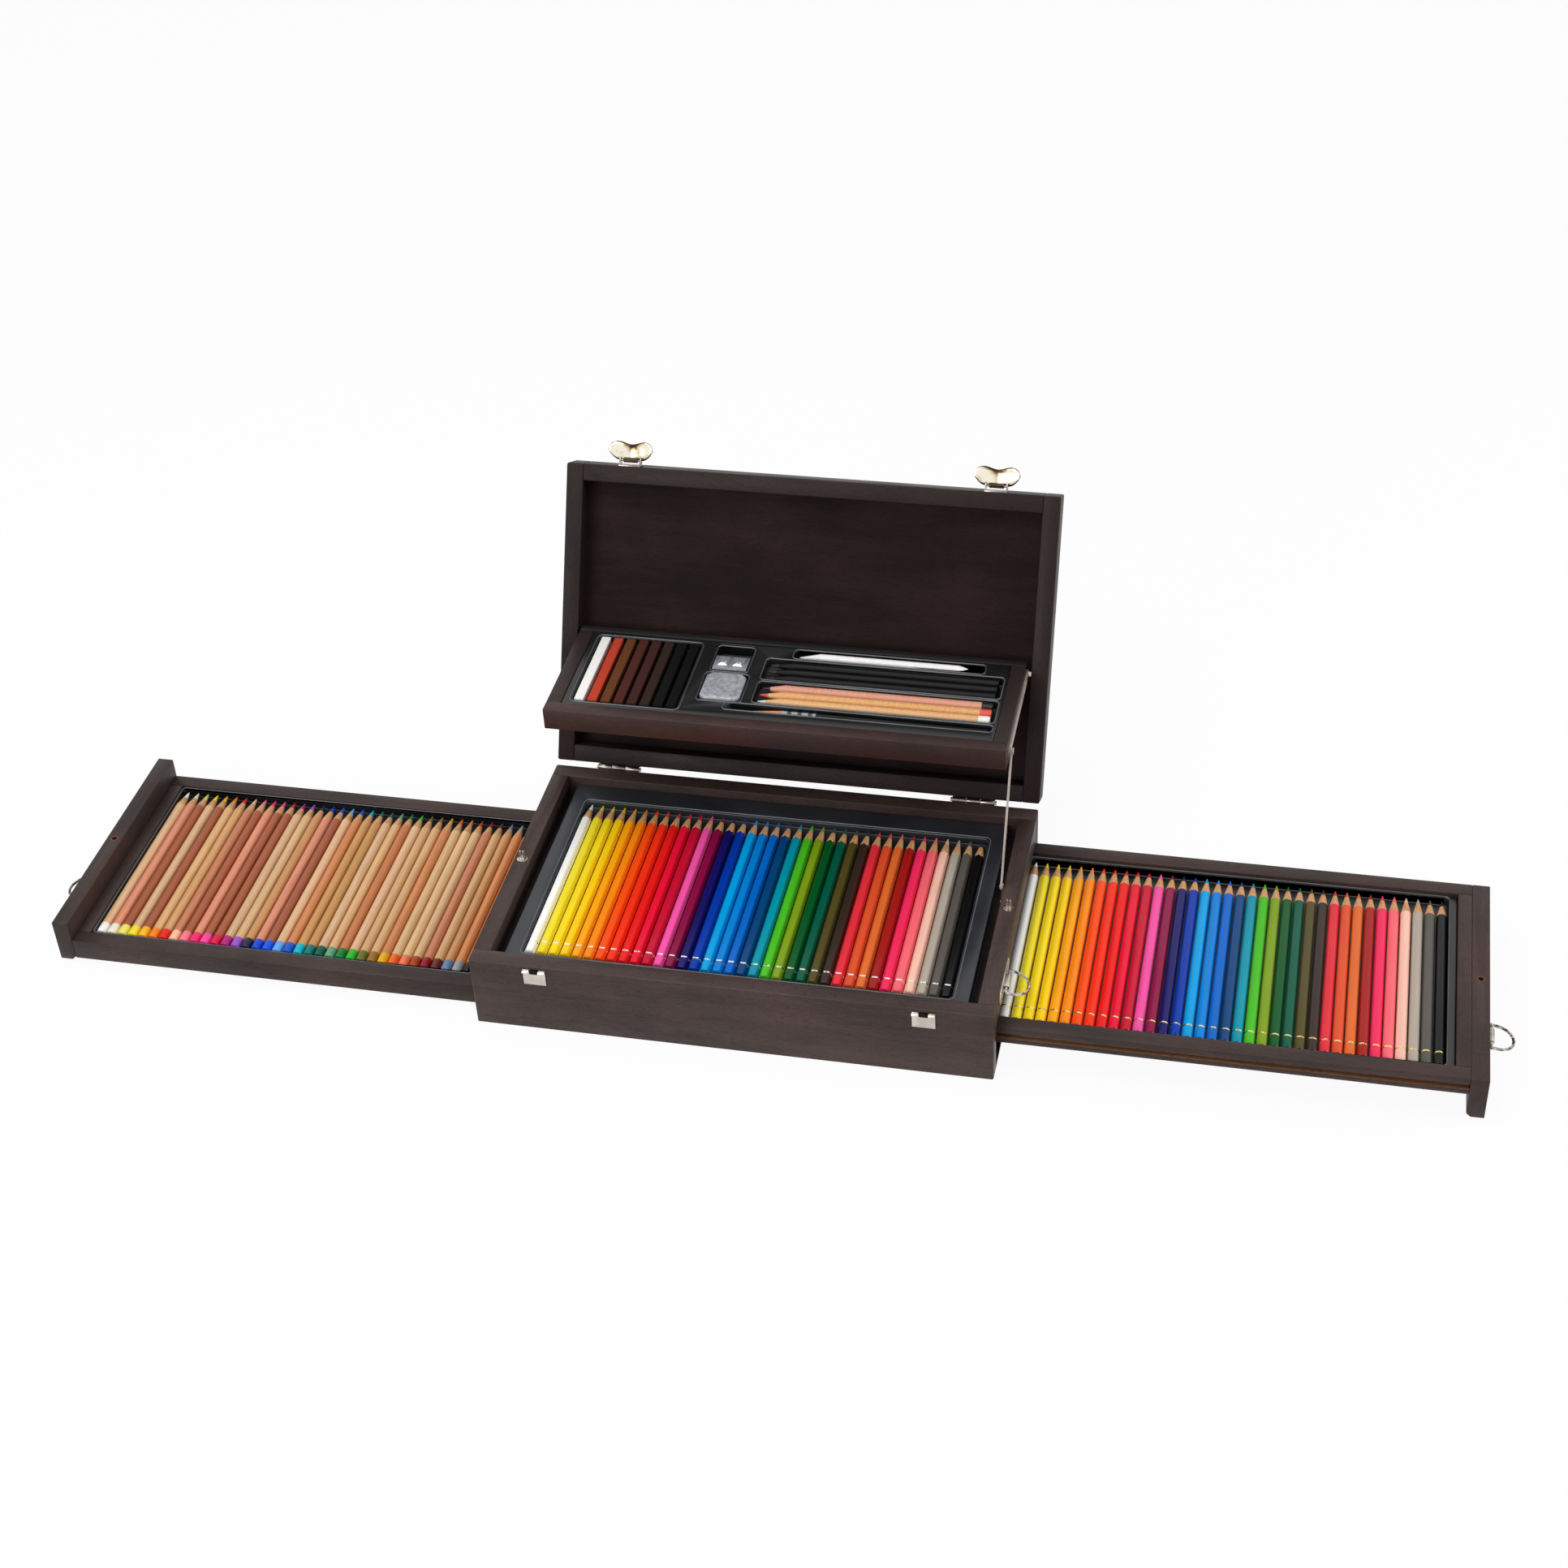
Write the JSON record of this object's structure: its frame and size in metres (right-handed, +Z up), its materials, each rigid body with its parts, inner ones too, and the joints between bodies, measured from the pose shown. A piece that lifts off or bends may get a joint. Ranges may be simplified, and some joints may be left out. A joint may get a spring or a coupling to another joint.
{
  "type": "pencil drawer box",
  "caption": "Flat stained wooden box for coloured pencils, with a hinged lid that lifts a level tray on a link, a well, end drawers on both sides, ring pulls and toggle latches.",
  "frame": {"origin": "centre of the case's underside", "axes": "+X along the case's length, towards the upper drawer's open end; +Y from the latches to the hinges; +Z up"},
  "size_m": [1.089, 0.3625, 0.2864],
  "materials": {
    "stained_wood": "satin",
    "stained_plywood": "satin",
    "runner_wood": "satin",
    "black_sheet": "satin",
    "painted_pencils": "gloss",
    "natural_pencils": "satin",
    "black_pencils": "gloss",
    "nickel": "polished",
    "painted_link": "satin",
    "chalk": "matte",
    "white_plastic": "gloss",
    "cast_alloy": "satin",
    "paper": "matte",
    "brush_lacquer": "gloss",
    "ferrule_tin": "polished",
    "bristle": "matte"
  },
  "bodies": {
    "case": {"case_back_board": "stained_wood", "case_bottom_panel": "stained_plywood", "case_end_boards": "stained_wood", "case_front_board": "stained_wood", "case_ring_plate": "nickel", "well_deck": "stained_plywood", "well_insert": "black_sheet", "well_pencils": "painted_pencils", "drawer_runners": "runner_wood", "hinge_leaves_case": "nickel", "hinge_pins": "nickel", "strikers": "nickel", "link_bracket": "nickel", "pin_collars": "nickel"},
    "lid": {"lid_end_boards": "stained_wood", "lid_front_board": "stained_wood", "lid_back_board": "stained_wood", "lid_panel": "stained_plywood", "hinge_leaves_lid": "nickel", "latch_bases": "nickel", "tray_pivot_screws": "nickel"},
    "top_tray": {"tray_long_rails": "stained_wood", "tray_end_boards": "stained_wood", "tray_floor": "stained_plywood", "tray_insert": "black_sheet", "tray_arm": "painted_link", "chalk_sticks": "chalk", "eraser_case": "white_plastic", "sharpener": "cast_alloy", "paper_stump": "paper", "charcoal_pencils": "black_pencils", "pastel_pencils": "natural_pencils", "brush_handle": "brush_lacquer", "brush_ferrule": "ferrule_tin", "brush_bristles": "bristle"},
    "stay": {"stay_link": "painted_link"},
    "latch_left": {"latch_lever_left": "nickel"},
    "latch_right": {"latch_lever_right": "nickel"},
    "drawer_right": {"right_drawer_end_rails": "stained_wood", "right_drawer_fascia": "stained_wood", "right_drawer_floor": "stained_plywood", "right_drawer_insert": "black_sheet", "right_drawer_pencils": "painted_pencils", "right_drawer_ring_plate": "nickel", "right_drawer_side_rails": "stained_wood"},
    "drawer_left": {"left_drawer_end_rails": "stained_wood", "left_drawer_fascia": "stained_wood", "left_drawer_floor": "stained_plywood", "left_drawer_insert": "black_sheet", "left_drawer_pencils": "natural_pencils", "left_drawer_ring_plate": "nickel", "left_drawer_side_rails": "stained_wood"},
    "ring_right": {"right_drawer_ring": "nickel"},
    "ring_left": {"left_drawer_ring": "nickel"},
    "ring_case": {"case_ring": "nickel"},
    "pin_left": {"lock_pin_left": "nickel"},
    "pin_right": {"lock_pin_right": "nickel"}
  },
  "joints": [
    {"name": "lid_hinge", "type": "hinge", "parent": "case", "child": "lid", "pos_m": [0, 0.1189, 0.06015], "axis": [1, 0, 0], "range_deg": [0, 116]},
    {"name": "tray_pivot", "type": "hinge", "parent": "lid", "child": "top_tray", "pos_m": [0, 0.16791, 0.14766], "axis": [1, 0, 0], "range_deg": [-116, 0]},
    {"name": "stay_pivot", "type": "hinge", "parent": "case", "child": "stay", "pos_m": [0.1746, 0.0224, 0.06015], "axis": [1, 0, 0], "range_deg": [0, 116]},
    {"name": "latch_left_hinge", "type": "hinge", "parent": "lid", "child": "latch_left", "pos_m": [-0.141, 0.2291, 0.27298], "axis": [1, 0, 0], "range_deg": [0, 90]},
    {"name": "latch_right_hinge", "type": "hinge", "parent": "lid", "child": "latch_right", "pos_m": [0.141, 0.2291, 0.27298], "axis": [1, 0, 0], "range_deg": [0, 90]},
    {"name": "right_drawer_slide", "type": "slide", "parent": "case", "child": "drawer_right", "axis": [1, 0, 0], "range_m": [-0.335, 0]},
    {"name": "left_drawer_slide", "type": "slide", "parent": "case", "child": "drawer_left", "axis": [1, 0, 0], "range_m": [0, 0.335]},
    {"name": "right_ring_hinge", "type": "hinge", "parent": "drawer_right", "child": "ring_right", "pos_m": [0.528, -0.038, 0.02], "axis": [0, 1, 0], "range_deg": [-102, 78]},
    {"name": "left_ring_hinge", "type": "hinge", "parent": "drawer_left", "child": "ring_left", "pos_m": [-0.528, -0.038, 0.02], "axis": [0, 1, 0], "range_deg": [-78, 102]},
    {"name": "case_ring_hinge", "type": "hinge", "parent": "case", "child": "ring_case", "pos_m": [0.193, -0.07, 0.0522], "axis": [0, 1, 0], "range_deg": [-102, 78]},
    {"name": "left_pin_slide", "type": "slide", "parent": "case", "child": "pin_left", "axis": [0, 0, 1], "range_m": [-0.0072, 0]},
    {"name": "right_pin_slide", "type": "slide", "parent": "case", "child": "pin_right", "axis": [0, 0, 1], "range_m": [-0.0072, 0]}
  ],
  "couplings": [
    {"joint": "tray_pivot", "follows": "lid_hinge", "ratio": -1},
    {"joint": "stay_pivot", "follows": "lid_hinge", "ratio": 1},
    {"joint": "left_pin_slide", "follows": "lid_hinge", "m_per_rad": -0.003556},
    {"joint": "right_pin_slide", "follows": "lid_hinge", "m_per_rad": -0.003556}
  ]
}
